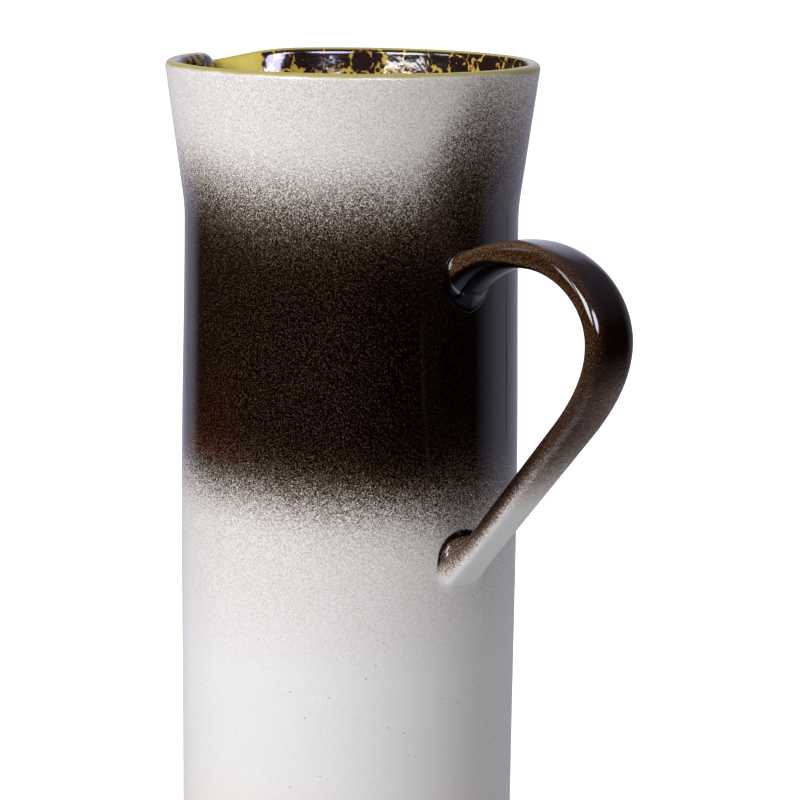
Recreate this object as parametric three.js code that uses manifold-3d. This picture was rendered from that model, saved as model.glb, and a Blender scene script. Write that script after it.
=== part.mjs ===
// Stoneware jug: a cast body with a flared collar and a pulled spout, a strap handle,
// and the two fillets of slip that hold the handle to the wall.
// Millimetres, +Z up. The origin is the centre of the base, the handle points along +X
// and the spout along -X.
import * as THREE from 'three';
import { mergeVertices } from 'three/addons/utils/BufferGeometryUtils.js';
import Module from 'manifold-3d';

const wasm = await Module();
wasm.setup();

// Body, outside sizes unless named otherwise
const HEIGHT = 250; // base to the crown of the rim
const FOOT_RADIUS = 52.2; // just above the rounded edge of the base
const BELLY_RADIUS = 52.9; // where the wall swells most
const BELLY_HEIGHT = 118; // of that swell, above the base
const CREASE_RADIUS = 52.1; // in the crease under the collar
const COLLAR_HEIGHT = 45.5; // crease to the crown of the rim
const RIM_RADIUS = 57.8; // just under the crown of the rim
const WALL = 4;
const FLOOR = 6;
const FOOT_ROUND = 2.5; // edge of the base
const CREASE_EASE = 4; // reach of the crease's soft corner, up and down
const FLOOR_ROUND = 7; // inside corner between floor and wall

// Spout, pulled out of the collar opposite the handle
const SPOUT_REACH = 11.5; // of the tip beyond the rim
const SPOUT_DROP = 3.9; // of the tip below the rim
const SPOUT_DEPTH = 41; // how far down the collar the channel runs
const SPOUT_HALF_ANGLE = THREE.MathUtils.degToRad(40); // side to centre line, seen from above
const SPOUT_TIP_ROUND = THREE.MathUtils.degToRad(3); // rounding of the tip, seen from the axis
const SPOUT_BLEND = 2.6; // rounding of the corners where the sides leave the collar

// Strap handle: the centre line of the strap, then its section
const UPPER_ROOT_GAP = 19; // crease down to the strap's centre at the wall
const ROOT_SPACING = 88.5; // upper to lower strap centre, at the wall
const ARCH_RISE = 12.1; // upper root up to the top of the arch
const ARCH_OFFSET = 30.6; // wall out to the top of the arch
const ARCH_DROP = 23.8; // top of the arch down to the outermost point
const HANDLE_REACH = 61.2; // wall out to the outermost point
const KNEE_DROP = 12; // outermost point down to the line of the straight leg
const KNEE_LENGTH = 20.8; // of the bend, along the leg
const ROOT_WIDTH = 17; // strap at its upper end
const GRIP_WIDTH = 16.8; // strap at the outermost point
const FOOT_WIDTH = 13; // strap at its lower end
const ROOT_THICKNESS = 9.6;
const GRIP_THICKNESS = 6.8;
const FOOT_THICKNESS = 5.6;
const STRAP_CORNER = 2.8; // rounding of the strap's four edges at its upper end

// Slip joints
const JOINT_SIDE_LAP = 2.8; // spread beyond the strap's sides
const JOINT_LAP_BELOW = 3.8; // spread under the strap
const UPPER_JOINT_LAP_ABOVE = 4.5; // spread over the strap, where the corner is sharp
const LOWER_JOINT_LAP_ABOVE = 9; // sharper still above the leg
const JOINT_RISE = 4.6; // height of the fillet off the wall
const CLEARANCE = 0.3; // between a piece and the one that shapes it

// Fineness of the facets
const ROUND_SEGMENTS = 88;
const SPOUT_CROWDING = 0.55; // draws the body's segments towards the spout
const WALL_STEPS = 4;
const COLLAR_STEPS = 5;
const EDGE_STEPS = 3;
const RIM_STEPS = 6; // even, so that one point is the crown
const STRAP_STEPS = 36;
const CORNER_STEPS = 3;
const JOINT_SEGMENTS = 24;
const MERGE_DISTANCE = 1e-3; // corners nearer than this are one

// Places that follow from the sizes
const creaseHeight = HEIGHT - COLLAR_HEIGHT;
const rimRound = WALL / 2;
const upperRootHeight = creaseHeight - UPPER_ROOT_GAP;
const lowerRootHeight = upperRootHeight - ROOT_SPACING;

// Outside of the body from the base's centre to the rim, as points of radius and height
function outsideLine() {
  const edge = new THREE.EllipseCurve(
    FOOT_RADIUS - FOOT_ROUND, FOOT_ROUND, FOOT_ROUND, FOOT_ROUND, -Math.PI / 2, 0);
  const crease = new THREE.Vector2(CREASE_RADIUS, creaseHeight);
  const rim = new THREE.Vector2(RIM_RADIUS, HEIGHT - rimRound);
  const easeStart = new THREE.Vector2(CREASE_RADIUS, creaseHeight - CREASE_EASE);
  const easeEnd = crease.clone().lerp(rim, CREASE_EASE / crease.distanceTo(rim));
  const wall = new THREE.SplineCurve([
    new THREE.Vector2(FOOT_RADIUS, FOOT_ROUND),
    new THREE.Vector2(BELLY_RADIUS, BELLY_HEIGHT),
    easeStart,
  ]);
  return [
    new THREE.Vector2(0, 0),
    ...edge.getPoints(EDGE_STEPS),
    ...wall.getPoints(WALL_STEPS).slice(1),
    ...new THREE.QuadraticBezierCurve(easeStart, crease, easeEnd).getPoints(EDGE_STEPS).slice(1),
    ...new THREE.LineCurve(easeEnd, rim).getPoints(COLLAR_STEPS).slice(1),
  ];
}

// Outside radius of the body at a height, away from the spout
function outsideRadius(height) {
  const line = outsideLine();
  const above = Math.max(1, line.findIndex((point) => point.y >= height));
  const [low, high] = [line[above - 1], line[above]];
  return THREE.MathUtils.mapLinear(height, low.y, high.y, low.x, high.x);
}

// Whole section of the body: up the outside, over the rim, down the inside to the floor's centre
function bodySection() {
  const outside = outsideLine();
  const crown = new THREE.EllipseCurve(
    RIM_RADIUS - rimRound, HEIGHT - rimRound, rimRound, rimRound, 0, Math.PI);
  const cornerHeight = FLOOR + FLOOR_ROUND;
  const cornerRadius = outsideRadius(cornerHeight) - WALL;
  const corner = new THREE.EllipseCurve(
    cornerRadius - FLOOR_ROUND, cornerHeight, FLOOR_ROUND, FLOOR_ROUND, 0, -Math.PI / 2, true);
  const inside = outside
    .filter((point) => point.y > cornerHeight)
    .map((point) => new THREE.Vector2(point.x - WALL, point.y))
    .reverse();
  return [
    ...outside,
    ...crown.getPoints(RIM_STEPS).slice(1),
    ...inside.slice(1),
    ...corner.getPoints(EDGE_STEPS),
    new THREE.Vector2(0, FLOOR),
  ];
}

// The larger of two lengths, rounded over where they are within a blend of each other
function roundedMax(a, b, blend) {
  const nearness = Math.max(blend - Math.abs(a - b), 0);
  return Math.max(a, b) + (nearness * nearness) / (4 * blend);
}

// How far the spout pulls the collar out, at an angle from its centre line and a height
function spoutPull(angle, height) {
  const depth = THREE.MathUtils.clamp(1 - (HEIGHT - height) / SPOUT_DEPTH, 0, 1);
  const softAngle = Math.hypot(angle, SPOUT_TIP_ROUND);
  if (depth === 0 || softAngle > Math.PI / 2 - SPOUT_HALF_ANGLE) return 0;
  const round = outsideRadius(Math.min(height, HEIGHT - rimRound));
  const tip = round + SPOUT_REACH * depth;
  const sharpTip = (tip * Math.sin(SPOUT_HALF_ANGLE + SPOUT_TIP_ROUND)) / Math.sin(SPOUT_HALF_ANGLE);
  const side = (sharpTip * Math.sin(SPOUT_HALF_ANGLE)) / Math.sin(SPOUT_HALF_ANGLE + softAngle);
  return roundedMax(round, side, SPOUT_BLEND * depth) - round;
}

// A closed solid turned round the Z axis
function turned(section) {
  return new THREE.LatheGeometry(section, ROUND_SEGMENTS).rotateX(Math.PI / 2);
}

// The body: turned, its segments drawn towards -X, and the spout pulled there
function bodyGeometry() {
  const geometry = turned(bodySection());
  const place = geometry.attributes.position;
  for (let i = 0; i < place.count; i++) {
    const radius = Math.hypot(place.getX(i), place.getY(i));
    const even = Math.atan2(-place.getY(i), -place.getX(i));
    const angle = even - SPOUT_CROWDING * Math.sin(even);
    const pull = spoutPull(angle, place.getZ(i));
    const drop = (SPOUT_DROP * pull) / SPOUT_REACH;
    place.setXYZ(
      i, -(radius + pull) * Math.cos(angle), -(radius + pull) * Math.sin(angle), place.getZ(i) - drop);
  }
  return geometry;
}

// Centre line of the strap in the XZ plane, from inside the wall at the top to inside it below
function handleLine() {
  const point = (x, z) => new THREE.Vector3(x, 0, z);
  const inset = 3 * WALL;
  const upperWall = outsideRadius(upperRootHeight);
  const archTop = point(upperWall + ARCH_OFFSET, upperRootHeight + ARCH_RISE);
  const outermost = point(upperWall + HANDLE_REACH, archTop.z - ARCH_DROP);
  const upperRoot = point(upperWall, upperRootHeight);
  const rise = point((upperWall + archTop.x) / 2, archTop.z);
  const upperEnd = upperRoot.clone().add(upperRoot.clone().sub(rise).setLength(inset));
  const knee = point(outermost.x, outermost.z - KNEE_DROP);
  const lowerRoot = point(outsideRadius(lowerRootHeight), lowerRootHeight);
  const legWay = lowerRoot.clone().sub(knee).normalize();
  const legStart = knee.clone().addScaledVector(legWay, KNEE_LENGTH);
  const lowerEnd = lowerRoot.clone().addScaledVector(legWay, inset);
  const roundness = 0.5523; // of a quarter ellipse drawn as a cubic curve
  const line = new THREE.CurvePath();
  line.add(new THREE.LineCurve3(upperEnd, upperRoot));
  line.add(new THREE.QuadraticBezierCurve3(upperRoot, rise, archTop));
  line.add(new THREE.CubicBezierCurve3(
    archTop,
    point(THREE.MathUtils.lerp(archTop.x, outermost.x, roundness), archTop.z),
    point(outermost.x, THREE.MathUtils.lerp(outermost.z, archTop.z, roundness)),
    outermost));
  line.add(new THREE.QuadraticBezierCurve3(outermost, knee, legStart));
  line.add(new THREE.LineCurve3(legStart, lowerEnd));
  return { line, legWay, upperWay: rise.clone().sub(upperRoot).normalize() };
}

// Half width and half thickness of the strap at a share of its length
function strapSize(share, gripShare) {
  const toGrip = Math.max(1 - share / gripShare, 0);
  const toFoot = Math.max((share - gripShare) / (1 - gripShare), 0);
  const between = (root, grip, foot) => grip + (root - grip) * toGrip ** 2 + (foot - grip) * toFoot;
  return {
    halfWidth: between(ROOT_WIDTH, GRIP_WIDTH, FOOT_WIDTH) / 2,
    halfThickness: between(ROOT_THICKNESS, GRIP_THICKNESS, FOOT_THICKNESS) / 2,
  };
}

// Section of the strap at its upper end: a rectangle with round corners
function strapSection() {
  const across = ROOT_WIDTH / 2 - STRAP_CORNER;
  const out = ROOT_THICKNESS / 2 - STRAP_CORNER;
  const section = new THREE.Shape();
  section.absarc(across, out, STRAP_CORNER, 0, Math.PI / 2);
  section.absarc(-across, out, STRAP_CORNER, Math.PI / 2, Math.PI);
  section.absarc(-across, -out, STRAP_CORNER, Math.PI, 1.5 * Math.PI);
  section.absarc(across, -out, STRAP_CORNER, 1.5 * Math.PI, 2 * Math.PI);
  return section;
}

// The strap as a straight bar bent along the centre line, its section grown all round by a margin
function strapGeometry(margin) {
  const { line } = handleLine();
  const lengths = line.getCurveLengths();
  const gripShare = lengths[2] / lengths[lengths.length - 1];
  const bar = new THREE.ExtrudeGeometry(strapSection(), {
    depth: 1, steps: STRAP_STEPS, curveSegments: CORNER_STEPS, bevelEnabled: false,
  });
  const place = bar.attributes.position;
  for (let i = 0; i < place.count; i++) {
    const share = place.getZ(i);
    const { halfWidth, halfThickness } = strapSize(share, gripShare);
    const across = (place.getX(i) * (halfWidth + margin)) / (ROOT_WIDTH / 2);
    const out = (place.getY(i) * (halfThickness + margin)) / (ROOT_THICKNESS / 2);
    const centre = line.getPoint(share);
    const along = line.getTangent(share);
    place.setXYZ(i, centre.x - out * along.z, across, centre.z + out * along.x);
  }
  return bar;
}

// Low mound of slip on the wall round one end of the strap
function moundGeometry(rootHeight, lapAbove, way, halfWidth, halfThickness) {
  const mound = new THREE.SphereGeometry(1, JOINT_SEGMENTS, JOINT_SEGMENTS / 2);
  const strapReach = halfThickness / Math.abs(way.x);
  const halfHeight = strapReach + (lapAbove + JOINT_LAP_BELOW) / 2;
  const lift = (lapAbove - JOINT_LAP_BELOW) / 2;
  mound.scale(JOINT_RISE, halfWidth + JOINT_SIDE_LAP, halfHeight);
  return mound.translate(outsideRadius(rootHeight), 0, rootHeight + lift);
}

// Closed geometry to a solid that can be cut
function toSolid(geometry) {
  const shape = geometry.clone();
  shape.deleteAttribute('normal');
  shape.deleteAttribute('uv');
  const merged = mergeVertices(shape, MERGE_DISTANCE);
  const corners = [];
  for (let i = 0; i < merged.index.count; i += 3) {
    const [a, b, c] = [0, 1, 2].map((k) => merged.index.getX(i + k));
    if (a !== b && b !== c && c !== a) corners.push(a, b, c);
  }
  return new wasm.Manifold(new wasm.Mesh({
    numProp: 3,
    vertProperties: new Float32Array(merged.attributes.position.array),
    triVerts: new Uint32Array(corners),
  }));
}

// Cut solid back to a geometry
function toGeometry(solid) {
  const { vertProperties, triVerts } = solid.getMesh();
  const geometry = new THREE.BufferGeometry();
  geometry.setAttribute('position', new THREE.BufferAttribute(vertProperties, 3));
  geometry.setIndex(new THREE.BufferAttribute(triVerts, 1));
  return geometry;
}

// Filled outside of the body, larger by the clearance, that shapes what sits on the wall
function wallCutter() {
  const [baseCentre, ...line] = outsideLine();
  const grown = line.map((point) => new THREE.Vector2(point.x + CLEARANCE, point.y));
  return toSolid(turned([baseCentre, ...grown, new THREE.Vector2(0, HEIGHT - rimRound)]));
}

const whiteGlaze = new THREE.MeshStandardMaterial({ color: 0xdcd9da, roughness: 0.35, metalness: 0 });
const brownGlaze = new THREE.MeshStandardMaterial({ color: 0x3b2a1b, roughness: 0.25, metalness: 0 });
const pooledGlaze = new THREE.MeshStandardMaterial({ color: 0x1d1512, roughness: 0.15, metalness: 0 });

function namedMesh(name, geometry, material) {
  const mesh = new THREE.Mesh(geometry, material);
  mesh.name = name;
  return mesh;
}

const wall = wallCutter();
const strapPocket = toSolid(strapGeometry(CLEARANCE));
const { upperWay, legWay } = handleLine();

// The mound with the strap's end and the wall cut out of it
function jointGeometry(rootHeight, lapAbove, way, width, thickness) {
  const mound = toSolid(moundGeometry(rootHeight, lapAbove, way, width / 2, thickness / 2));
  return toGeometry(mound.subtract(wall).subtract(strapPocket));
}

const jug = new THREE.Group();
jug.add(namedMesh('jug_body', bodyGeometry(), whiteGlaze));
jug.add(namedMesh('strap_handle', toGeometry(toSolid(strapGeometry(0)).subtract(wall)), brownGlaze));
jug.add(namedMesh(
  'upper_handle_joint',
  jointGeometry(upperRootHeight, UPPER_JOINT_LAP_ABOVE, upperWay, ROOT_WIDTH, ROOT_THICKNESS),
  pooledGlaze));
jug.add(namedMesh(
  'lower_handle_joint',
  jointGeometry(lowerRootHeight, LOWER_JOINT_LAP_ABOVE, legWay, FOOT_WIDTH, FOOT_THICKNESS),
  pooledGlaze));

export default jug;
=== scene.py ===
"""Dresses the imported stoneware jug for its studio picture.

The file is laid out as an add-on: property groups hold the sizes and colours, operators make
the body, the strap, its two joints and the studio, and main() runs them in order. Lengths are
metres, +Z is up, the handle points along +X and the spout along -X.
"""
import math
from collections import namedtuple

import bpy
from bpy.props import FloatProperty, FloatVectorProperty, IntProperty, PointerProperty
from mathutils import Euler, Matrix, Vector
from mathutils.geometry import interpolate_bezier
from mathutils.kdtree import KDTree


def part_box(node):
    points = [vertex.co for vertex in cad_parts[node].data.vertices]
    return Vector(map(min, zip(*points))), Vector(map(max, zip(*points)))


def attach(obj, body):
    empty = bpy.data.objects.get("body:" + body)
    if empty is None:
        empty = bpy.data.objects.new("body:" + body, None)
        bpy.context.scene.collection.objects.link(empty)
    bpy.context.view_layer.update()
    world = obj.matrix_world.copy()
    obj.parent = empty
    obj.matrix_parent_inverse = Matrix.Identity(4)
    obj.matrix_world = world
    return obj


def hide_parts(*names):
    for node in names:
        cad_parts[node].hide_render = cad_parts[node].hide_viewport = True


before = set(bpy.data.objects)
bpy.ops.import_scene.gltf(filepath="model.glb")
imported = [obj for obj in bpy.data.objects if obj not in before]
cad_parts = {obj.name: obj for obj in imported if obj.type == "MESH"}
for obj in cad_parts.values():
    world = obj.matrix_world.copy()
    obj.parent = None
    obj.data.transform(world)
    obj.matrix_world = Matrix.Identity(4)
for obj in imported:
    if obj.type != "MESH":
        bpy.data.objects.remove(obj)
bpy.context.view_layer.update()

bl_info = {
    "name": "Stoneware Jug",
    "version": (1, 0, 0),
    "blender": (4, 5, 0),
    "location": "View3D > Sidebar > Jug",
    "description": "Models a glazed stoneware jug with a pulled spout and a strap handle",
    "category": "Add Mesh",
}

RIM_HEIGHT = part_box("jug_body")[1].z

QUARTER_ROUND = 0.5523  # handle share that makes a quarter of a circle
SOFT_CORNER = 2 / 3  # handle share that makes a plain bend
SLIP_HOLLOW = 0.55  # handle share that makes the hollow side of the slip
SLIP_TUCK = 0.0004  # how far the slip's hidden sides go into strap and wall
SLIP_POINTS = 18  # points on the slip's open side, from strap to wall
PATH_INSET = 3  # wall thicknesses that the strap's line goes into the body
NO_TURN = 1e-7  # largest turn between two stations that is left out
FILM_WIDTH = 36  # millimetres

MOST_COATS = 2.0  # thickest brown spray, in full coats
COAT_STEPS = 20  # colours worked out between none and the thickest
POOL_COATS = 1.6  # coats of the glaze that ran into a joint's crease
CORE_COATS = (1.17, 1.34)  # middle of the band, away from the handle and beside it
STRAY_COATS = (0.003, 0.03)  # last grains of the spray, low on the wall and just under the band
HIDING_COATS = (0.05, 0.6)  # coats that start to hide the white glaze, and that hide it
DRIFT_SIZE = 0.03  # size of the waves in the band's edges
DRIFT = 0.005  # height of those waves
GRAIN_GROWTH = 0.65  # power with which the grain's contrast grows with the coats
GRAIN_CALM = 0.45  # share of that contrast that each coat takes away
SATIN = 0.3  # roughness of the white glaze
GLOSSY = 0.1  # roughness of the brown glaze and of the liner
UNEVEN_SIZE = 0.004  # size of the waves in a glaze
UNEVENNESS = 0.00003  # their depth in a smooth one
STRAP_IOR = 1.65  # of the glossy glaze on the strap and its joints
LINER_IOR = 1.7
FULL_SPECULAR = 0.5  # specular level of a plain glaze
RED_TINT = (1.5, 1.0, 0.85)  # takes the brown towards red
GRIP_TINT = (1.0, 0.9, 0.7)  # warms the strap's upper half
SHINE_TINT = (0.92, 0.92, 1.2)  # cools what the glaze mirrors

Station = namedtuple("Station", "centre along half_width half_thickness roundness")


def length(description, default):
    """A property that holds a length."""
    return FloatProperty(description=description, default=default, unit="LENGTH", precision=4)


def lengths(description, default):
    """A property that holds three lengths."""
    return FloatVectorProperty(description=description, default=default, unit="LENGTH", precision=4)


def turn(description, degrees):
    """A property that holds an angle."""
    return FloatProperty(description=description, default=math.radians(degrees), unit="ROTATION")


def number(description, default):
    """A property that holds a plain number."""
    return FloatProperty(description=description, default=default, precision=3)


def colour(description, default):
    """A property that holds a colour."""
    return FloatVectorProperty(
        description=description, default=default, subtype="COLOR", size=3, min=0, max=1)


class JugBodySizes(bpy.types.PropertyGroup):
    """Outside sizes of the body and its spout."""

    height: length("Base to the crown of the rim", RIM_HEIGHT)
    foot_radius: length("Just above the rounded edge of the base", 0.0522)
    belly_radius: length("Where the wall swells most", 0.0529)
    belly_height: length("Height of that swell above the base", 0.118)
    crease_radius: length("In the crease under the collar", 0.0521)
    collar_height: length("Crease to the crown of the rim", 0.0455)
    rim_radius: length("Just under the crown of the rim", 0.0582)
    wall: length("Thickness of the wall", 0.004)
    floor: length("Thickness of the floor", 0.006)
    foot_round: length("Rounding of the base's edge", 0.0025)
    crease_ease: length("Reach of the crease's soft corner", 0.004)
    floor_round: length("Inside corner between floor and wall", 0.007)
    spout_reach: length("Tip of the spout beyond the rim", 0.0115)
    spout_drop: length("Tip of the spout below the rim", 0.0039)
    spout_depth: length("How far down the collar the channel runs", 0.041)
    spout_half_angle: turn("Side to centre line, seen from above", 40)
    spout_tip_round: turn("Rounding of the tip, seen from the axis", 3)
    spout_blend: length("Rounding where the sides leave the collar", 0.006)
    segments: IntProperty(description="Faces round the body", default=288)
    crowding: number("How far the faces are drawn towards the spout", 0.5)


class JugHandleSizes(bpy.types.PropertyGroup):
    """Centre line and section of the strap handle, and the slip at its ends."""

    upper_gap: length("Crease down to the strap's centre at the wall", 0.0163)
    root_spacing: length("Upper to lower strap centre, at the wall", 0.0917)
    root_shift: length("Upper end of the strap towards +Y", 0.0018)
    arch_rise: length("Upper root up to the top of the arch", 0.0092)
    arch_offset: length("Wall out to the top of the arch", 0.0306)
    arch_drop: length("Top of the arch down to the outermost point", 0.0238)
    reach: length("Wall out to the outermost point", 0.0617)
    knee_drop: length("Outermost point down to the line of the leg", 0.012)
    knee_length: length("Length of the bend, along the leg", 0.0208)
    width: lengths("Strap at its upper end, the grip and its lower end", (0.017, 0.0168, 0.013))
    thickness: lengths("Strap there, without the flares", (0.0096, 0.0078, 0.0063))
    root_flare: length("Extra thickness of the strap where it leaves the wall", 0.004)
    flare_length: length("Wall out to where that extra thickness ends", 0.024)
    foot_flare: length("Extra thickness over the lower end", 0.006)
    foot_spread: length("Extra width there", 0.003)
    foot_flare_length: length("Wall out to where both end", 0.014)
    face_flatness: number("2 is an ellipse, more is a flatter face", 3.8)
    side_roundness: number("2 is an ellipse, more is a flatter side", 2.5)
    round_length: length("Wall out to where the upper end stops being an ellipse", 0.03)
    bury: length("How far the ends go into the wall", 0.0014)
    upper_slip: lengths("Radius of the slip over, beside and under the upper end", (0.0007, 0.0008, 0.007))
    lower_slip: lengths("Radius of the slip under, beside and over the lower end", (0.002, 0.0012, 0.0029))
    upper_crease: length("Reach of the tight crease between upper slip and wall", 0.0004)
    lower_crease: length("Reach of the tight crease between lower slip and wall", 0.0011)
    stations: IntProperty(description="Rings along the strap", default=130)
    section_points: IntProperty(description="Points round the strap", default=72)


class JugGlazeLooks(bpy.types.PropertyGroup):
    """Colours of the glazes and the places where they change. Sides are angles from the handle to +Y."""

    white: colour("Satin white over the whole outside", (0.80, 0.785, 0.79))
    brown: colour("One full coat of the sprayed brown over white", (0.0135, 0.0058, 0.0028))
    honey: colour("The same coat on the handle, where it is warmer", (0.016, 0.0053, 0.0021))
    yellow: colour("Liner glaze where it is thin", (0.52, 0.41, 0.065))
    amber: colour("Liner glaze round the dark clouds", (0.40, 0.20, 0.04))
    mottle: colour("Dark clouds in the liner", (0.020, 0.010, 0.010))
    rim_yellow: colour("Line on the crown of the rim", (0.42, 0.36, 0.105))
    clay: colour("Unglazed foot", (0.42, 0.29, 0.20))
    blush: colour("Thin glaze above the foot", (0.80, 0.70, 0.64))
    band_top: length("Height where the brown spray ends", 0.218)
    band_bottom: length("Height where the brown spray starts", 0.1144)
    top_fade: length("Height in which the upper edge thins out", 0.0221)
    bottom_fade: length("Height in which the lower edge thins out", 0.0145)
    soft_tail: length("Reach of the last grains past both edges", 0.003)
    heavy_side: turn("Side of the heaviest spray", 38)
    heavy_spread: length("How much higher the spray reaches on that side", 0.0305)
    heavy_drop: length("How much lower the spray reaches on that side", 0.006)
    heavy_fade: length("How much more the lower edge thins out on that side", 0.0108)
    raised_side: turn("Side where both edges are higher", -120)
    raised_top: length("How much higher the upper edge is there", 0.00368)
    raised_bottom: length("How much higher the lower edge is there", 0.0046)
    stray_start: length("Height where the last grains of the spray start", 0.065)
    stray_end: length("Height where they reach the band", 0.108)
    grain: length("Size of the sprayed grains", 0.0002)
    plain_side: turn("Liner without dark clouds", 175)
    red_side: turn("Side where the band's foot is red", -108)
    wide_side: turn("Side where the rim's line is widest", 45)
    rim_line: length("Crown down to the end of the yellow line", 0.0034)
    blush_height: length("Base up to the end of the blush", 0.036)
    pit_spacing: length("Pinhole to pinhole in the white glaze", 0.005)
    block: length("Size of the liner's dark blocks", 0.0074)
    spot: length("Size of the dark spots further down", 0.0019)
    broken_depth: length("Crown down to where the blocks become spots", 0.0125)


class JugStageLooks(bpy.types.PropertyGroup):
    """Camera, lights and floor of the studio. Shines are strengths as the glaze mirrors them."""

    azimuth: turn("Camera round the jug", 48.5)
    distance: length("Camera from the jug's axis", 1.2)
    above_rim: length("Camera over the crown of the rim", 0.0876)
    pitch: turn("Camera down", 9.2)
    yaw: turn("Camera to the right", 0.75)
    roll: turn("Camera about its own line of sight", 0.61)
    lens: FloatProperty(description="Focal length on the film", default=173.8, unit="CAMERA")
    key_power: number("Softbox to the left of the camera, in watts", 31.5)
    side_power: number("Tall softbox on the far left, in watts", 4)
    fill_power: number("Low softbox to the right of the camera, in watts", 3)
    side_paper: number("Strength of the white paper on the left", 0.25)
    surround: number("Strength of the white paper behind the jug", 0.2)
    surround_shine: number("The same paper, mirrored", 0.4)
    backdrop_shine: number("Lit middle of that paper, mirrored", 0.5)
    ceiling: number("Strength of the white ceiling", 0.6)
    ceiling_shine: number("The same ceiling, mirrored", 0.15)
    bounce: number("Strength of the light that the table throws up", 0.87)
    bounce_shine: number("The same table, mirrored", 0.1)
    edge_shine: number("Paper on the far left, mirrored", 0.45)
    window_shine: number("Small window on the right, mirrored", 12)
    seam_shine: number("Gap in the paper on the right, taken off", -0.3)
    table_shine: number("Lit front of the table, mirrored", 1.5)
    floor_glow: number("Light that the pale floor gives off itself", 0.8)


# Curves


def bend(start, corner, end, steps, handle_share):
    """Points from start to end that round off the corner between them."""
    return interpolate_bezier(
        start, start.lerp(corner, handle_share), end.lerp(corner, handle_share), end, steps + 1)


def straight(start, end, steps):
    """Even points from start to end."""
    return [start.lerp(end, step / steps) for step in range(steps + 1)]


def swell(start, end, steps):
    """Points from start to end that leave and arrive upright."""
    third = Vector((0, (end.y - start.y) / 3))
    return interpolate_bezier(start, start + third, end - third, end, steps + 1)


def joined(*runs):
    """Runs of points as one run, without the points where they meet twice."""
    points = list(runs[0])
    for run in runs[1:]:
        points.extend(run[1:])
    return points


def distances(points):
    """Distance along a run of points from its first one."""
    total = [0.0]
    for last, point in zip(points, points[1:]):
        total.append(total[-1] + (point - last).length)
    return total


def even_points(points, count):
    """The same line with its points evenly spaced."""
    along = distances(points)
    result = []
    segment = 0
    for step in range(count):
        want = along[-1] * step / (count - 1)
        while segment < len(points) - 2 and along[segment + 1] < want:
            segment += 1
        share = (want - along[segment]) / (along[segment + 1] - along[segment])
        result.append(points[segment].lerp(points[segment + 1], share))
    return result


# Body


def outside_line(body):
    """Outside of the body from the base's edge to just under the crown, as radius and height."""
    crease_height = body.height - body.collar_height
    foot = Vector((body.foot_radius, body.foot_round))
    belly = Vector((body.belly_radius, body.belly_height))
    crease = Vector((body.crease_radius, crease_height))
    rim = Vector((body.rim_radius, body.height - body.wall / 2))
    ease_start = crease - Vector((0, body.crease_ease))
    ease_end = crease + (rim - crease).normalized() * body.crease_ease
    base_edge = Vector((body.foot_radius - body.foot_round, 0))
    return joined(
        bend(base_edge, Vector((body.foot_radius, 0)), foot, 6, QUARTER_ROUND),
        swell(foot, belly, 14),
        swell(belly, ease_start, 12),
        bend(ease_start, crease, ease_end, 8, SOFT_CORNER),
        straight(ease_end, rim, 16),
    )


def outside_radius(line, height):
    """Radius of the body's outside at a height, away from the spout."""
    for low, high in zip(line, line[1:]):
        if high.y >= height:
            break
    share = (height - low.y) / (high.y - low.y)
    return low.x + (high.x - low.x) * min(max(share, 0), 1)


def body_section(body):
    """Whole section from the base's edge over the rim to the floor, and the crown's place in it."""
    outside = outside_line(body)
    rim = outside[-1]
    half_wall = body.wall / 2
    crown = Vector((rim.x - half_wall, body.height))
    lip = Vector((rim.x - body.wall, rim.y))
    corner_height = body.floor + body.floor_round
    inset = Vector((body.wall, 0))
    inside = [point - inset for point in reversed(outside) if point.y > corner_height]
    wall_end = Vector((outside_radius(outside, corner_height) - body.wall, corner_height))
    floor_edge = Vector((wall_end.x - body.floor_round, body.floor))
    section = joined(
        outside,
        bend(rim, Vector((rim.x, body.height)), crown, 8, QUARTER_ROUND),
        bend(crown, Vector((lip.x, body.height)), lip, 8, QUARTER_ROUND),
        inside + [wall_end],
        bend(wall_end, Vector((wall_end.x, body.floor)), floor_edge, 8, QUARTER_ROUND),
    )
    return section, section.index(crown)


def clear_selection():
    """Deselect everything, because an operator acts on all that is selected."""
    bpy.ops.object.select_all(action="DESELECT")


def new_ring(name, points, **settings):
    """A new object that is one circle of points."""
    clear_selection()
    bpy.ops.mesh.primitive_circle_add(vertices=points, **settings)
    ring = bpy.context.object
    ring.name = name
    return ring


def face_outwards():
    """Turn the faces of the mesh in edit mode outwards."""
    bpy.ops.mesh.select_all(action="SELECT")
    bpy.ops.mesh.normals_make_consistent(inside=False)


def finder(points):
    """A tree that finds the nearest of some points."""
    tree = KDTree(len(points))
    for index, point in enumerate(points):
        tree.insert(point.to_3d(), index)
    tree.balance()
    return tree


def store(mesh, name, values):
    """Keep a number for each point of a mesh, for its material to read."""
    mesh.attributes.new(name, "FLOAT", "POINT").data.foreach_set("value", values)


def turned_shell(name, section, segments):
    """A closed shell: a circle extruded and scaled along a section, with both ends filled."""
    shell = new_ring(name, segments, radius=section[0].x)
    bpy.ops.object.mode_set(mode="EDIT")
    bpy.ops.mesh.edge_face_add()
    bpy.ops.mesh.poke()
    bpy.ops.mesh.region_to_loop()
    for last, point in zip(section, section[1:]):
        bpy.ops.mesh.extrude_region_move(TRANSFORM_OT_translate={"value": (0, 0, point.y - last.y)})
        grow = point.x / last.x
        bpy.ops.transform.resize(value=(grow, grow, 1), center_override=(0, 0, point.y))
    bpy.ops.mesh.edge_face_add()
    bpy.ops.mesh.poke()
    face_outwards()
    bpy.ops.object.mode_set(mode="OBJECT")
    return shell


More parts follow.
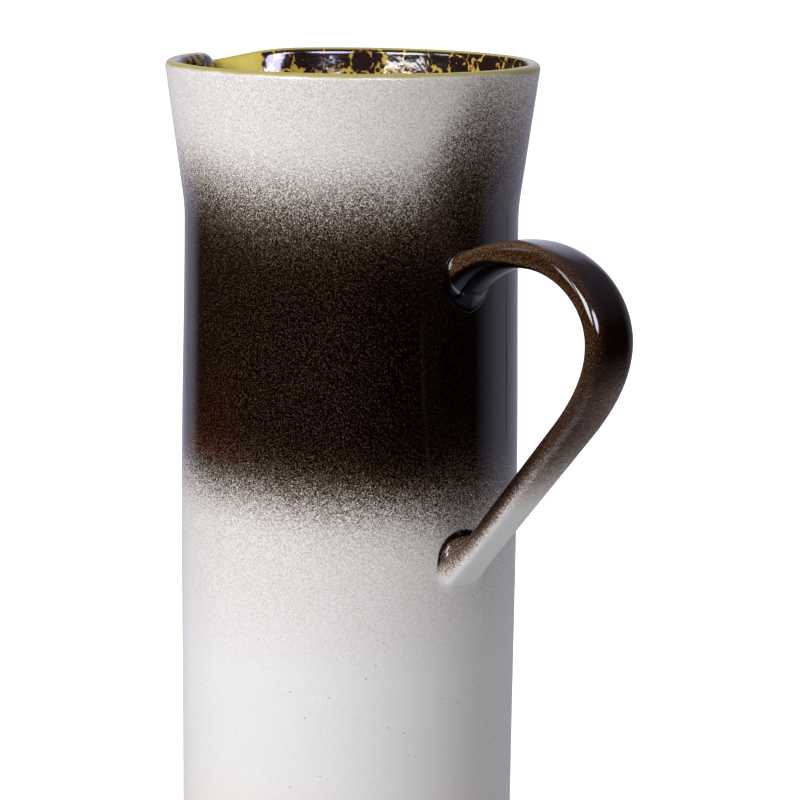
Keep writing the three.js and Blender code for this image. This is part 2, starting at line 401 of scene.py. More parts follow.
def mark_rim_way(mesh, section, crown):
    """Store each point's way along the section from the crown: outside above zero, inside below."""
    along = distances(section)
    tree = finder(section)
    ways = []
    for vertex in mesh.vertices:
        radius = math.hypot(vertex.co.x, vertex.co.y)
        index = tree.find((radius, vertex.co.z, 0))[1]
        ways.append(along[crown] - along[index])
    store(mesh, "rim_way", ways)


def rounded_max(first, second, blend):
    """The larger of two lengths, rounded over where they are within a blend of each other."""
    nearness = max(blend - abs(first - second), 0)
    return max(first, second) + nearness * nearness / (4 * blend)


def spout_pull(body, line, angle, height):
    """How far the spout pulls the collar out, at an angle from its centre line and a height."""
    depth = min(max(1 - (body.height - height) / body.spout_depth, 0), 1)
    soft_angle = math.hypot(angle, body.spout_tip_round)
    if depth == 0 or soft_angle > math.pi / 2 - body.spout_half_angle:
        return 0
    half = body.spout_half_angle
    around = outside_radius(line, min(height, body.height - body.wall / 2))
    tip = around + body.spout_reach * depth
    sharp_tip = tip * math.sin(half + body.spout_tip_round) / math.sin(half)
    side = sharp_tip * math.sin(half) / math.sin(half + soft_angle)
    return rounded_max(around, side, body.spout_blend * depth) - around


def pull_spout(mesh, body):
    """Draw the faces towards -X, then pull the spout out of the collar there and lower its tip."""
    line = outside_line(body)
    for vertex in mesh.vertices:
        radius = math.hypot(vertex.co.x, vertex.co.y)
        even = math.atan2(-vertex.co.y, -vertex.co.x)
        angle = even - body.crowding * math.sin(even)
        pull = spout_pull(body, line, angle, vertex.co.z)
        reach = radius + pull if radius > body.foot_radius / 2 else radius
        drop = body.spout_drop * pull / body.spout_reach
        vertex.co = (-reach * math.cos(angle), -reach * math.sin(angle), vertex.co.z - drop)


# Handle


def root_heights(body, handle):
    """Heights of the strap's upper and lower end at the wall."""
    upper = body.height - body.collar_height - handle.upper_gap
    return upper, upper - handle.root_spacing


def handle_path(body, handle):
    """Centre line of the strap, its share at the grip, and how far its ends go into the wall."""
    line = outside_line(body)
    upper_height, lower_height = root_heights(body, handle)
    upper_root = Vector((outside_radius(line, upper_height), handle.root_shift, upper_height))
    lower_root = Vector((outside_radius(line, lower_height), 0, lower_height))
    arch_top = Vector((upper_root.x + handle.arch_offset, 0, upper_height + handle.arch_rise))
    outermost = Vector((upper_root.x + handle.reach, 0, arch_top.z - handle.arch_drop))
    rise = Vector(((upper_root.x + arch_top.x) / 2, 0, arch_top.z))
    knee = outermost - Vector((0, 0, handle.knee_drop))
    inset = PATH_INSET * body.wall
    upper_way = (rise - upper_root).normalized()
    leg_way = (lower_root - knee).normalized()
    leg_start = knee + leg_way * handle.knee_length
    to_grip = joined(
        straight(upper_root - upper_way * inset, upper_root, 8),
        bend(upper_root, rise, arch_top, 40, SOFT_CORNER),
        bend(arch_top, Vector((outermost.x, 0, arch_top.z)), outermost, 60, QUARTER_ROUND),
    )
    points = joined(
        to_grip,
        bend(outermost, knee, leg_start, 40, SOFT_CORNER),
        straight(leg_start, lower_root + leg_way * inset, 60),
    )
    grip_share = distances(to_grip)[-1] / distances(points)[-1]
    return points, grip_share, inset


def flare(distance, reach):
    """Share of a flare that is left at a distance from the wall."""
    return min(max(1 - distance / reach, 0), 1) ** 2


def strap_half_sizes(handle, share, grip_share, from_wall, to_wall):
    """Half of the strap's width, thickness and inward swelling at a share of its length."""
    to_grip = max(1 - share / grip_share, 0) ** 2
    to_foot = max((share - grip_share) / (1 - grip_share), 0)
    at_root = flare(from_wall, handle.flare_length)
    at_foot = flare(to_wall, handle.foot_flare_length)

    def between(root, grip, foot):
        return grip + (root - grip) * to_grip + (foot - grip) * to_foot

    inwards = handle.foot_flare * at_foot
    width = between(*handle.width) + handle.foot_spread * at_foot
    thickness = between(*handle.thickness) + handle.root_flare * at_root + inwards
    return width / 2, thickness / 2, inwards / 2


def strap_stations(body, handle):
    """Rings along the strap, from inside the wall at its upper end to inside it at its lower end."""
    path, grip_share, inset = handle_path(body, handle)
    points = even_points(path, handle.stations)
    whole = distances(path)[-1]
    stations = []
    for index, point in enumerate(points):
        before = points[max(index - 1, 0)]
        after = points[min(index + 1, len(points) - 1)]
        along = (after - before).normalized()
        share = index / (len(points) - 1)
        from_wall = share * whole - inset
        to_wall = (1 - share) * whole - inset
        half_width, half_thickness, inwards = strap_half_sizes(
            handle, share, grip_share, from_wall, to_wall)
        centre = point - outward(along) * inwards
        roundness = flare(from_wall, handle.round_length)
        stations.append(Station(centre, along, half_width, half_thickness, roundness))
    return stations


def power(value, exponent):
    """A power that keeps the value's sign."""
    return math.copysign(abs(value) ** exponent, value)


def section_place(angle, handle):
    """Place on the strap's section at an angle, in halves of its width and thickness."""
    return (
        power(math.cos(angle), 2 / handle.face_flatness),
        power(math.sin(angle), 2 / handle.side_roundness),
    )


def outward(along):
    """Direction that points out of the strap's outer face."""
    return Vector((-along.z, 0, along.x)).normalized()


def rounder(place, handle, share):
    """A place on the section, moved by a share of the way to an ellipse."""
    across = power(place[0], handle.face_flatness / 2)
    out = power(place[1], handle.side_roundness / 2)
    return place[0] + (across - place[0]) * share, place[1] + (out - place[1]) * share


def surface_point(station, place):
    """Point on the strap's surface at a station and a place on its section."""
    across = Vector((0, place[0] * station.half_width, 0))
    return station.centre + across + outward(station.along) * place[1] * station.half_thickness


def swept_strap(name, stations, handle):
    """A strap: one squared ring, extruded, turned and scaled from station to station."""
    strap = new_ring(name, handle.section_points, radius=1, fill_type="NGON")
    for vertex in strap.data.vertices:
        place = section_place(math.atan2(vertex.co.y, vertex.co.x), handle)
        vertex.co = surface_point(stations[0], place)
    bpy.ops.object.mode_set(mode="EDIT")
    bpy.ops.mesh.select_all(action="SELECT")
    for last, station in zip(stations, stations[1:]):
        centre = station.centre
        bpy.ops.mesh.extrude_region_move(TRANSFORM_OT_translate={"value": centre - last.centre})
        angle = math.atan2(station.along.z, station.along.x) - math.atan2(last.along.z, last.along.x)
        angle = math.remainder(angle, math.tau)
        if abs(angle) > NO_TURN:
            bpy.ops.transform.rotate(value=angle, orient_axis="Y", center_override=centre)
        grow = station.half_thickness / last.half_thickness
        spread = station.half_width / last.half_width
        bpy.ops.transform.resize(value=(grow, spread, grow), center_override=centre)
    face_outwards()
    return strap


def cut_at_wall(x):
    """Cut off what lies on the axis' side of an upright plane, and close the cut."""
    bpy.ops.mesh.select_all(action="SELECT")
    bpy.ops.mesh.bisect(plane_co=(x, 0, 0), plane_no=(1, 0, 0), use_fill=True, clear_inner=True)
    bpy.ops.object.mode_set(mode="OBJECT")


def mark_strap(mesh, stations, handle):
    """Store each point's share of the length and place on the section, and round the upper end."""
    tree = finder([station.centre for station in stations])
    marks = {"along": [], "facing": [], "beside": []}
    for vertex in mesh.vertices:
        level = Vector((vertex.co.x, 0, vertex.co.z))
        index = tree.find(level)[1]
        station = stations[index]
        facing = (level - station.centre).dot(outward(station.along)) / station.half_thickness
        beside = (vertex.co.y - station.centre.y) / station.half_width
        marks["along"].append(index / (len(stations) - 1))
        marks["facing"].append(facing)
        marks["beside"].append(beside)
        place = (beside, facing)
        round_place = rounder(place, handle, station.roundness)
        vertex.co += surface_point(station, round_place) - surface_point(station, place)
    for name, values in marks.items():
        store(mesh, name, values)


# Slip round the strap's ends


def wall_gap(wall_line, point):
    """How far a point is outside the body's wall."""
    return math.hypot(point.x, point.y) - outside_radius(wall_line, point.z)


def onto_wall(wall_line, point):
    """The point moved level onto the body's wall."""
    grow = outside_radius(wall_line, point.z) / math.hypot(point.x, point.y)
    return Vector((point.x * grow, point.y * grow, point.z))


def leave_wall(wall_line, points):
    """Number of the step in which a run of points leaves the wall, and the point where it does."""
    for index, (last, point) in enumerate(zip(points, points[1:])):
        inside, outside = wall_gap(wall_line, last), wall_gap(wall_line, point)
        if inside <= 0 < outside:
            return index, last.lerp(point, inside / (inside - outside))


def walk(points, distance):
    """Point at a distance along a run of points."""
    for last, point in zip(points, points[1:]):
        step = (point - last).length
        if step >= distance:
            return last.lerp(point, distance / step)
        distance -= step
    return points[-1]


def slip_column(wall_line, run, side_normal, radius, crease):
    """Section of the slip where a run along the strap leaves the wall: down to it, then inside."""
    meeting = run[0]
    wall_normal = Vector((meeting.x, meeting.y, 0)).normalized()
    reach = radius * math.tan(side_normal.angle(wall_normal) / 2)
    along_wall = (side_normal - wall_normal * side_normal.dot(wall_normal)).normalized()
    on_strap = walk(run, reach)
    foot = onto_wall(wall_line, meeting + along_wall * reach)
    end = onto_wall(wall_line, meeting + along_wall * (reach + crease))
    slope = bend(on_strap, meeting, foot, 14, SLIP_HOLLOW)
    start = walk(slope[::-1], crease)
    clear_of_start = crease * 1.05
    slope = [point for point in slope if (point - foot).length > clear_of_start]
    roll = bend(start, foot, end, 5, SOFT_CORNER)
    surface = even_points([on_strap, *slope[1:], *roll], SLIP_POINTS)
    heart = meeting - (side_normal + wall_normal) * SLIP_TUCK
    return [on_strap - side_normal * SLIP_TUCK, *surface, end - wall_normal * SLIP_TUCK, heart]


def slip_columns(body, handle, stations, radii, crease):
    """Sections of the slip all round the strap's first end."""
    wall_line = outside_line(body)
    count = 2 * handle.section_points
    places = [section_place(math.tau * index / count, handle) for index in range(count)]
    runs = []
    for place in places:
        round_places = [rounder(place, handle, station.roundness) for station in stations]
        runs.append([surface_point(*pair) for pair in zip(stations, round_places)])
    columns = []
    for index, (place, run) in enumerate(zip(places, runs)):
        step, meeting = leave_wall(wall_line, run)
        around = runs[(index + 1) % count][step] - runs[index - 1][step]
        side_normal = around.cross(run[step + 1] - run[step]).normalized()
        if side_normal.dot(meeting - stations[step].centre) < 0:
            side_normal.negate()
        out_share = place[1] ** 2 / (place[0] ** 2 + place[1] ** 2)
        face_radius = radii[0] if place[1] > 0 else radii[2]
        radius = radii[1] + (face_radius - radii[1]) * out_share
        columns.append(slip_column(wall_line, [meeting, *run[step + 1:]], side_normal, radius, crease))
    return columns


def slip_ring(name, columns):
    """A closed ring of slip: a circle extruded, then laid on its sections."""
    count, rows = len(columns), len(columns[0])
    ring = new_ring(name, count, radius=1)
    bpy.ops.object.mode_set(mode="EDIT")
    for _ in range(rows - 1):
        bpy.ops.mesh.extrude_region_move(TRANSFORM_OT_translate={"value": (0, 0, 1)})
    bpy.ops.object.mode_set(mode="OBJECT")
    mesh = ring.data
    across = []
    for vertex in mesh.vertices:
        row = round(vertex.co.z)
        column = round(math.atan2(vertex.co.y, vertex.co.x) / math.tau * count) % count
        across.append(row / (rows - 2))
        vertex.co = columns[column][row]
        vertex.select = row in (0, rows - 1)
    for edge in mesh.edges:
        edge.select = all(mesh.vertices[index].select for index in edge.vertices)
    store(mesh, "across", across)
    bpy.ops.object.mode_set(mode="EDIT")
    bpy.ops.mesh.select_mode(type="EDGE")
    bpy.ops.mesh.bridge_edge_loops()
    face_outwards()
    bpy.ops.object.mode_set(mode="OBJECT")
    return ring


# Materials


class NodeGraph:
    """A node tree whose nodes are added in one line each."""

    def __init__(self, tree):
        self.tree = tree

    def add(self, kind, inputs=(), **settings):
        """A new node with its settings, and its inputs set to values or joined to outputs."""
        node = self.tree.nodes.new(kind)
        for key, value in settings.items():
            setattr(node, key, value)
        for key, value in dict(inputs).items():
            self.set(node.inputs[key], value)
        return node

    def set(self, socket, value):
        """Set a socket to a value, or join it to another node's output."""
        if isinstance(value, bpy.types.NodeSocket):
            self.tree.links.new(value, socket)
        elif socket.type == "RGBA":
            socket.default_value = (*value[:3], 1)
        else:
            socket.default_value = value

    def math(self, operation, *values):
        """Result of one sum."""
        return self.add("ShaderNodeMath", enumerate(values), operation=operation).outputs[0]

    def product(self, *values):
        """All the values multiplied."""
        result = values[0]
        for value in values[1:]:
            result = self.math("MULTIPLY", result, value)
        return result

    def scaled(self, value, factor, start):
        """A value times a factor, plus a start."""
        return self.math("MULTIPLY_ADD", value, factor, start)

    def ramp(self, value, low, high, start=0.0, end=1.0, course="LINEAR"):
        """Straight line from start to end as a value goes from low to high."""
        inputs = {"Value": value, "From Min": low, "From Max": high, "To Min": start, "To Max": end}
        return self.add("ShaderNodeMapRange", inputs, interpolation_type=course).outputs[0]

    def span(self, value, low, high, start=0.0, end=1.0):
        """Smooth step from start to end as a value goes from low to high."""
        return self.ramp(value, low, high, start, end, "SMOOTHSTEP")

    def blend(self, share, first, second):
        """First number where share is 0, second where it is 1."""
        return self.add("ShaderNodeMix", {0: share, 2: first, 3: second}).outputs[0]

    def mix(self, share, first, second, manner="MIX"):
        """First colour where share is 0, second or the two multiplied where it is 1."""
        inputs = {0: share, 6: first, 7: second}
        return self.add("ShaderNodeMix", inputs, data_type="RGBA", blend_type=manner).outputs[2]

    def colours(self, value, stops):
        """Evenly spaced colours as a value goes from 0 to 1."""
        node = self.add("ShaderNodeValToRGB", {0: value})
        elements = node.color_ramp.elements
        for index in range(len(stops) - 2):
            elements.new((index + 1) / (len(stops) - 1))
        for element, stop in zip(elements, stops):
            element.color = (*stop, 1)
        return node.outputs[0]

    def vector(self, operation, *values, output=0):
        """Result of one sum with vectors."""
        return self.add("ShaderNodeVectorMath", enumerate(values), operation=operation).outputs[output]

    def towards(self, direction, aim):
        """How far a direction points the same way as an aim: 1 is the same."""
        return self.vector("DOT_PRODUCT", direction, aim, output="Value")


class GlazeGraph(NodeGraph):
    """The nodes of one material, on a piece's object coordinates."""

    def __init__(self, name):
        self.material = bpy.data.materials.new(name)
        self.material.use_nodes = True
        super().__init__(self.material.node_tree)
        self.shader = self.tree.nodes["Principled BSDF"].inputs
        self.place = self.add("ShaderNodeTexCoord").outputs["Object"]

    def axes(self):
        """The three coordinates of a place."""
        return self.add("ShaderNodeSeparateXYZ", {0: self.place}).outputs

    def attribute(self, name):
        """A number stored on the piece's points."""
        return self.add("ShaderNodeAttribute", attribute_name=name).outputs["Fac"]

    def noise(self, size, detail=2.0, output=0):
        """Cloudy noise whose clouds are about one size across."""
        inputs = {"Vector": self.place, "Scale": 1 / size, "Detail": detail}
        return self.add("ShaderNodeTexNoise", inputs).outputs[output]

    def cells(self, size, place, feature="F1", output="Distance"):
        """A cell pattern whose cells are about one size across."""
        inputs = {"Vector": place, "Scale": 1 / size}
        return self.add("ShaderNodeTexVoronoi", inputs, feature=feature).outputs[output]

    def thicken(self, distance, reach, softness):
        """Grows from 0 at an edge to 1 well inside it, with a soft tail outside it and a soft shoulder."""
        steps = self.math("EXPONENT", self.math("DIVIDE", distance, softness))
        soft = self.product(self.math("LOGARITHM", self.math("ADD", steps, 1.0), math.e), softness)
        return self.math("SMOOTH_MIN", self.math("DIVIDE", soft, reach), 1.0, 1.0)

    def finish(self, shade, roughness, relief, depth):
        """The material with a colour, a roughness and a relief of a depth."""
        bump = self.add("ShaderNodeBump", {"Height": relief, "Distance": depth, "Strength": 1.0})
        self.set(self.shader["Base Color"], shade)
        self.set(self.shader["Roughness"], roughness)
        self.set(self.shader["Normal"], bump.outputs[0])
        return self.material


def sprayed(graph, looks, amount, full_coat, patchiness):
    """Colour of the white glaze under a brown spray, and how far the spray hides the white."""
    grains = graph.math("SUBTRACT", graph.cells(looks.grain, graph.place, output="Color"), 0.5)
    contrast = graph.product(
        graph.math("POWER", amount, GRAIN_GROWTH), graph.scaled(amount, -GRAIN_CALM, 1.0), patchiness)
    coats = graph.scaled(grains, contrast, amount)
    stops = []
    for step in range(COAT_STEPS + 1):
        coat = MOST_COATS * step / COAT_STEPS
        stops.append([white * (brown / white) ** coat for white, brown in zip(looks.white, full_coat)])
    shade = graph.colours(graph.math("DIVIDE", coats, MOST_COATS), stops)
    return shade, graph.span(coats, *HIDING_COATS)


def level_direction(graph, axes):
    """Direction of a place from the jug's axis, level and of length 1."""
    level = graph.add("ShaderNodeCombineXYZ", {"X": axes[0], "Y": axes[1]}).outputs[0]
    return graph.vector("NORMALIZE", level)


def level_aim(angle):
    """Level direction at an angle from the handle towards +Y."""
    return math.cos(angle), math.sin(angle), 0


def body_spray(graph, looks, height, direction):
    """Coats of brown spray on the body, at a height and in a direction from the axis."""
    heavy = graph.span(graph.towards(direction, level_aim(looks.heavy_side)), 0.49, 0.82)
    raised = graph.towards(direction, level_aim(looks.raised_side))
    core = graph.ramp(graph.towards(direction, level_aim(0)), 0.7, 1.0, *CORE_COATS)
    level = graph.math("ADD", height, graph.scaled(graph.noise(DRIFT_SIZE), DRIFT, -DRIFT / 2))
    top = graph.ramp(raised, 0.67, 0.96, looks.band_top, looks.band_top + looks.raised_top)
    top = graph.scaled(heavy, looks.heavy_spread, top)
    top_fade = graph.scaled(heavy, looks.heavy_spread, looks.top_fade)
    bottom = graph.ramp(raised, 0.0, 1.0, looks.band_bottom, looks.band_bottom + looks.raised_bottom)
    bottom = graph.scaled(heavy, -looks.heavy_drop, bottom)
    bottom_fade = graph.scaled(heavy, looks.heavy_fade, looks.bottom_fade)
    over = graph.thicken(graph.math("SUBTRACT", top, level), top_fade, looks.soft_tail)
    under = graph.thicken(graph.math("SUBTRACT", level, bottom), bottom_fade, looks.soft_tail)
    stray = graph.ramp(height, looks.stray_start, looks.stray_end, *STRAY_COATS)
    return graph.math("ADD", graph.product(over, under, core), stray)


def outside_glaze(looks):
    """Satin white with the sprayed brown band, a yellow line on the rim and a blush above the foot."""
    graph = GlazeGraph("outside_glaze")
    axes = graph.axes()
    height = axes[2]
    direction = level_direction(graph, axes)
    amount = body_spray(graph, looks, height, direction)
    shade, cover = sprayed(graph, looks, amount, looks.brown, patchiness=3.0)
    red_share = graph.product(
        graph.ramp(graph.towards(direction, level_aim(looks.red_side)), 0.85, 0.97),
        graph.span(height, 0.168, 0.14),
        graph.span(amount, 0.7, 1.1))
    shade = graph.mix(red_share, shade, RED_TINT, "MULTIPLY")
    shade = graph.mix(graph.span(height, looks.blush_height, 0.004, 0.0, 0.6), shade, looks.blush)
    pits = graph.span(graph.cells(looks.pit_spacing, graph.place), 0.045, 0.03)
    shade = graph.mix(pits, shade, looks.mottle)
    wide = graph.ramp(graph.towards(direction, level_aim(looks.wide_side)), 0.83, 0.95, 0.0, -0.0016)
    way = graph.math("ADD", graph.attribute("rim_way"), wide)
    way = graph.scaled(graph.noise(0.008), 0.0012, way)
    shade = graph.mix(graph.span(way, looks.rim_line, 0.0022), shade, looks.rim_yellow)
    roughness = graph.blend(cover, SATIN, GLOSSY)
    return graph.finish(shade, roughness, graph.noise(UNEVEN_SIZE), UNEVENNESS)


def liner_glaze(looks):
    """Yellow liner with dark blocks, parted by thin runs, that break up into spots further down."""
    graph = GlazeGraph("liner_glaze")
    depth = graph.product(graph.attribute("rim_way"), -1.0)
    waver = graph.noise(0.003, output="Color")
    tall = graph.add("ShaderNodeMapping", {"Vector": graph.place, "Scale": (1, 1, 0.35)}).outputs[0]
    block_place = graph.vector("MULTIPLY_ADD", waver, (0.003, 0.003, 0.005), tall)
    edges = graph.cells(looks.block, block_place, "DISTANCE_TO_EDGE")
    blocks = graph.span(graph.scaled(graph.noise(0.0022), -0.3, edges), -0.165, -0.095)
    spot_place = graph.vector("MULTIPLY_ADD", waver, (0.0007, 0.0007, 0.0007), graph.place)
    spots = graph.span(graph.cells(looks.spot, spot_place), 0.62, 0.34)
    ragged_depth = graph.scaled(graph.noise(0.005, 3.0), 0.012, depth)
    broken = graph.span(ragged_depth, looks.broken_depth, 0.015)
    side = graph.towards(level_direction(graph, graph.axes()), level_aim(looks.plain_side))
    plain = graph.span(graph.scaled(graph.noise(0.004), 0.008, side), 0.9978, 0.9996)
    dark = graph.product(
        graph.blend(broken, blocks, spots),
        graph.math("SUBTRACT", 1.0, plain),
        graph.span(depth, 0.0012, 0.0018))
    shade = graph.colours(dark, (looks.yellow, looks.amber, looks.mottle, looks.mottle))
    shade = graph.mix(graph.span(depth, 0.0018, 0.0008), shade, looks.rim_yellow)
    graph.set(graph.shader["IOR"], LINER_IOR)
    graph.set(graph.shader["Specular IOR Level"], graph.blend(plain, FULL_SPECULAR, 0.12))
    roughness = graph.blend(plain, GLOSSY, 0.4)
    return graph.finish(shade, roughness, graph.noise(UNEVEN_SIZE), depth=0.00014)


def bare_clay(looks):
    """Unglazed clay of the base."""
    graph = GlazeGraph("bare_clay")
    specks = graph.span(graph.noise(0.0012), 0.55, 0.7)
    shade = graph.mix(specks, looks.clay, [channel * 0.6 for channel in looks.clay])
    return graph.finish(shade, roughness=0.85, relief=graph.noise(0.0009, 3.0), depth=0.00012)


def strap_glaze(looks):
    """Dark brown on the faces, thinner on the sides, fading to white down the outer face.

    Numbers beside `along` are shares of the strap's length from its upper end. Beside `facing`, 1 is
    the outer face and -1 the inner one. Beside `beside`, 1 is the side towards +Y and -1 the other.
    """
    graph = GlazeGraph("strap_glaze")
    along, facing, beside = [graph.attribute(name) for name in ("along", "facing", "beside")]
    past_grip = graph.span(along, 0.42, 0.5)
    leg = graph.span(along, 0.5, 0.8)
    edge = graph.span(graph.math("ABSOLUTE", beside), 0.35, 0.95)
    face = graph.blend(past_grip, graph.blend(edge, 1.0, 0.7), graph.ramp(beside, -0.7, 0.9, 1.2, 0.6))
    outer = graph.product(
        graph.span(along, 0.42, 0.52, 1.25, 0.56),
        graph.span(along, 0.57, 0.78, 1.0, 0.0),
        graph.span(along, 0.2, 0.38, 0.55, 1.0),
        face)
    grip_side = graph.ramp(along, 0.1, 0.24, 0.68, 0.82)
    leg_side = graph.product(
        graph.span(facing, -0.6, 0.9, 1.4, 0.08), graph.span(along, 0.8, 0.9, 1.0, 0.5))
    side = graph.product(
        graph.blend(leg, grip_side, leg_side), graph.ramp(facing, -0.6, 0.8, 0.9, 1.25))
    on_outer = graph.span(facing, 0.3, 0.95)
    coats = graph.blend(on_outer, side, outer)
    inner = graph.span(along, 0.75, 0.9, 1.6, 0.6)
    under_start = graph.span(along, 0.12, 0.24, 0.05, -0.5)
    under_end = graph.span(along, 0.12, 0.24, -0.3, -0.95)
    coats = graph.blend(graph.span(facing, under_start, under_end), coats, inner)
    patchiness = graph.blend(on_outer, graph.blend(leg, 2.1, 2.6), 1.6)
    shade, cover = sprayed(graph, looks, coats, looks.honey, patchiness)
    shade = graph.mix(graph.span(along, 0.5, 0.4), shade, GRIP_TINT, "MULTIPLY")
    inside_corner = graph.product(graph.span(facing, -0.35, -0.6), graph.span(along, 0.28, 0.34))
    dull = graph.math("MAXIMUM", past_grip, inside_corner)
    graph.set(graph.shader["IOR"], STRAP_IOR)
    graph.set(graph.shader["Specular IOR Level"], graph.blend(dull, FULL_SPECULAR, 0.2))
    roughness = graph.blend(cover, SATIN, graph.blend(dull, GLOSSY, 0.35))
    return graph.finish(shade, roughness, graph.noise(UNEVEN_SIZE), UNEVENNESS)


def joint_glaze(looks, name, middle, low_coats, high_coats, crease_start, pool_height, ripple):
    """Sprayed slip, unlike below and above a middle, with a glossy pool in its crease above a height."""
    graph = GlazeGraph(name)
    height = graph.axes()[2]
    across = graph.attribute("across")
    slip = graph.span(height, middle - 0.004, middle + 0.004, low_coats, high_coats)
    pool = graph.product(
        graph.span(across, crease_start, crease_start + 0.1),
        graph.span(across, crease_start + 0.34, crease_start + 0.24),
        graph.span(height, pool_height - 0.004, pool_height))
    coats = graph.blend(pool, slip, POOL_COATS)
    shade, cover = sprayed(graph, looks, coats, looks.honey, patchiness=2.0)
    graph.set(graph.shader["IOR"], STRAP_IOR)
    relief = graph.product(graph.noise(0.003, 1.0), graph.ramp(pool, 0.0, 1.0, 0.15, 1.0))
    return graph.finish(shade, graph.blend(cover, 0.25, GLOSSY), relief, ripple)


def finish_piece(piece, node):
    """Smooth the piece, and let it stand for its CAD node."""
    clear_selection()
    piece.select_set(True)
    bpy.context.view_layer.objects.active = piece
    bpy.ops.object.shade_smooth()
    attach(piece, "root")
    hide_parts(node)


# Operators


class JUG_OT_body_shell(bpy.types.Operator):
    """Turn the body from its section and pull the spout out of its collar"""

    bl_idname = "jug.body_shell"
    bl_label = "Body shell"

    def execute(self, context):
        body = context.scene.jug_body
        looks = context.scene.jug_glaze
        section, crown = body_section(body)
        shell = turned_shell("body_shell", section, body.segments)
        mesh = shell.data
        mark_rim_way(mesh, section, crown)
        pull_spout(mesh, body)
        for material in (outside_glaze(looks), liner_glaze(looks), bare_clay(looks)):
            mesh.materials.append(material)
        marks = mesh.attributes["rim_way"].data
        outside, liner, base = range(3)
        liner_start = -body.wall / 4
        base_end = body.foot_round / 3
        for face in mesh.polygons:
            way = sum(marks[index].value for index in face.vertices) / len(face.vertices)
            if face.center.z < base_end:
                face.material_index = base
            else:
                face.material_index = liner if way < liner_start else outside
        finish_piece(shell, "jug_body")
        return {"FINISHED"}


class JUG_OT_strap_handle(bpy.types.Operator):
    """Sweep the strap along its line and cut its ends at the wall"""

    bl_idname = "jug.strap_handle"
    bl_label = "Strap handle"

    def execute(self, context):
        body, handle = context.scene.jug_body, context.scene.jug_handle
        stations = strap_stations(body, handle)
        strap = swept_strap("handle_strap", stations, handle)
        cut_at_wall(outside_radius(outside_line(body), stations[0].centre.z) - handle.bury)
        mark_strap(strap.data, stations, handle)
        strap.data.materials.append(strap_glaze(context.scene.jug_glaze))
        finish_piece(strap, "strap_handle")
        return {"FINISHED"}


class JUG_OT_slip_joints(bpy.types.Operator):
    """Lay a fillet of slip round both ends of the strap"""

    bl_idname = "jug.slip_joints"
    bl_label = "Slip joints"

    def execute(self, context):
        body, handle = context.scene.jug_body, context.scene.jug_handle
        looks = context.scene.jug_glaze
        stations = strap_stations(body, handle)
        upper_height, lower_height = root_heights(body, handle)
        upper = slip_ring(
            "upper_joint_slip",
            slip_columns(body, handle, stations, handle.upper_slip, handle.upper_crease))
        upper.data.materials.append(joint_glaze(
            looks, "upper_joint_glaze", upper_height, low_coats=1.7, high_coats=0.9,
            crease_start=0.6, pool_height=0.0, ripple=0.0))
        finish_piece(upper, "upper_handle_joint")
        lower = slip_ring(
            "lower_joint_slip",
            slip_columns(body, handle, stations[::-1], handle.lower_slip, handle.lower_crease))
        lower.data.materials.append(joint_glaze(
            looks, "lower_joint_glaze", lower_height + 0.003, low_coats=0.0, high_coats=0.6,
            crease_start=0.65, pool_height=lower_height + 0.006, ripple=0.0014))
        finish_piece(lower, "lower_handle_joint")
        return {"FINISHED"}


def studio_place(stage, degrees, out=1.0, rise=0.0):
    """Place or direction from the jug's foot: an angle to the right of the camera, a way out, a rise."""
    angle = stage.azimuth - math.pi / 2 + math.radians(degrees)
    return Vector((math.cos(angle) * out, math.sin(angle) * out, rise))


def add_softbox(name, place, target, width, height, power, mirrored):
    """A rectangular light that faces a target and isn't seen itself, at most mirrored."""
    clear_selection()
    bpy.ops.object.light_add(type="AREA", location=place)
    box = bpy.context.object
    box.name = name
    box.rotation_euler = (target - place).to_track_quat("-Z", "Y").to_euler()
    box.data.shape = "RECTANGLE"
    box.data.size, box.data.size_y = width, height
    box.data.energy = power
    box.visible_camera = False
    box.visible_glossy = mirrored


